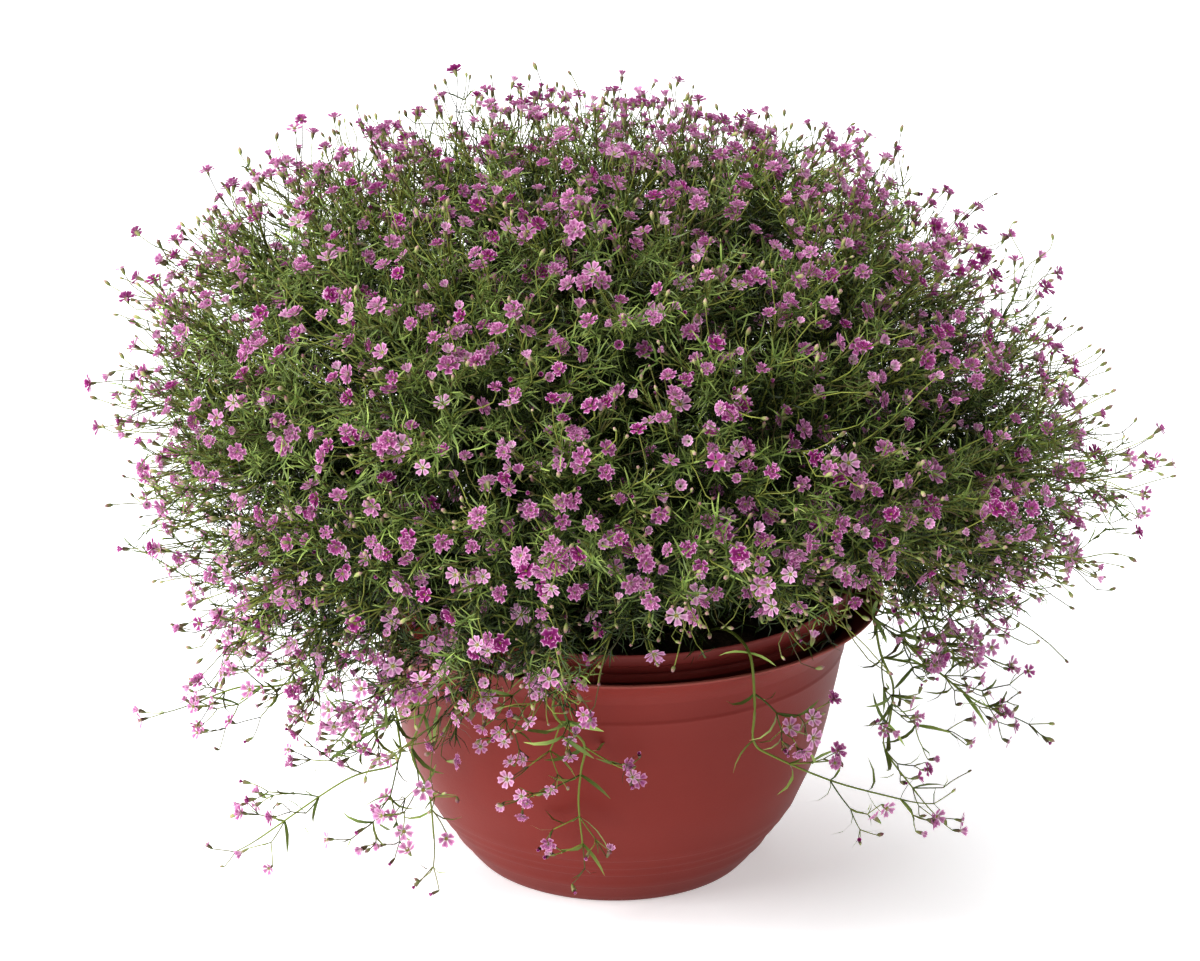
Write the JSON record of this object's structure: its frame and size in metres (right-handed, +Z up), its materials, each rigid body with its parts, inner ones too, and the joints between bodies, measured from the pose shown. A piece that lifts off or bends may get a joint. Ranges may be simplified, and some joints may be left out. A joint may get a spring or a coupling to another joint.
{
  "type": "potted gypsy babys breath",
  "caption": "Domed baby's breath plant of wiry forking stems, slim leaves and small pink blooms, growing in soil in a grower's pot inside a flared round plastic bowl.",
  "frame": {"origin": "middle of the bowl's underside, on the surface that the bowl stands on", "axes": "+Z up, -Y towards the front as seen in the picture, +X to the right"},
  "size_m": [0.4692, 0.458, 0.3623],
  "materials": {
    "bowl_plastic": "satin moulded plastic, terracotta red, fine grain",
    "liner_plastic": "thin formed plastic, dark red",
    "soil": "damp crumbly peat compost",
    "foliage": "matt living leaf and stem, mid green",
    "petals": "soft matt petals, pink with darker veins"
  },
  "bodies": {
    "root": {"bowl": "bowl_plastic", "liner": "liner_plastic", "soil": "soil", "spray_01": "foliage", "spray_02": "foliage", "spray_03": "foliage", "spray_04": "foliage", "spray_05": "foliage", "spray_06": "foliage", "spray_07": "foliage", "spray_08": "foliage", "spray_09": "foliage", "spray_10": "foliage", "spray_11": "foliage", "spray_12": "foliage", "spray_13": "foliage", "spray_14": "foliage", "spray_15": "foliage", "spray_16": "foliage", "spray_17": "foliage", "spray_18": "foliage", "spray_19": "foliage", "spray_20": "foliage", "spray_21": "foliage", "spray_22": "foliage", "spray_23": "foliage", "spray_24": "foliage", "spray_25": "foliage", "spray_26": "foliage", "spray_27": "foliage", "spray_28": "foliage", "spray_29": "foliage", "trailer_front": "foliage", "trailer_front_right": "foliage", "trailer_right": "foliage", "trailer_right_high": "foliage", "trailer_front_left": "foliage", "trailer_left": "foliage", "trailer_left_high": "foliage", "trailer_back": "foliage"}
  },
  "joints": []
}
